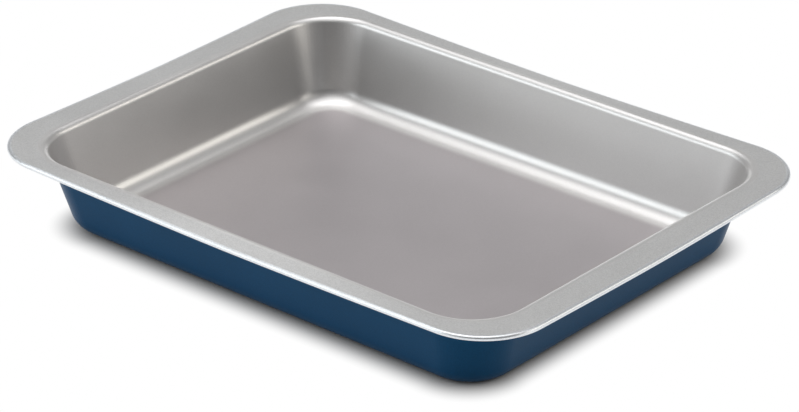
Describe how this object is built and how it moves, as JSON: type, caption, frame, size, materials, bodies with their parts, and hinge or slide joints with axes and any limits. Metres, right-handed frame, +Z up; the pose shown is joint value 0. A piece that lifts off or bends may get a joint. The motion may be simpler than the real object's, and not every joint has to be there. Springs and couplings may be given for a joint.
{
  "type": "rectangular cake pan",
  "caption": "Rectangular cake pan with leaning walls, a filleted floor, a wide flat flange and a rolled hem, light release coat inside and blue coat outside.",
  "frame": {"origin": "centre of the underside, on the surface that the pan stands on", "axes": "+X along the long side, +Y along the short side, +Z up out of the open mouth"},
  "size_m": [0.38, 0.2894, 0.05],
  "materials": {
    "release_coat": "satin warm grey release coat with fine metallic flake",
    "steel": "cold rolled steel sheet",
    "colour_coat": "semi-gloss deep blue heat-proof coat"
  },
  "bodies": {
    "root": {"inner_release_coat": "release_coat", "drawn_steel_body": "steel", "outer_colour_coat": "colour_coat"}
  },
  "joints": []
}
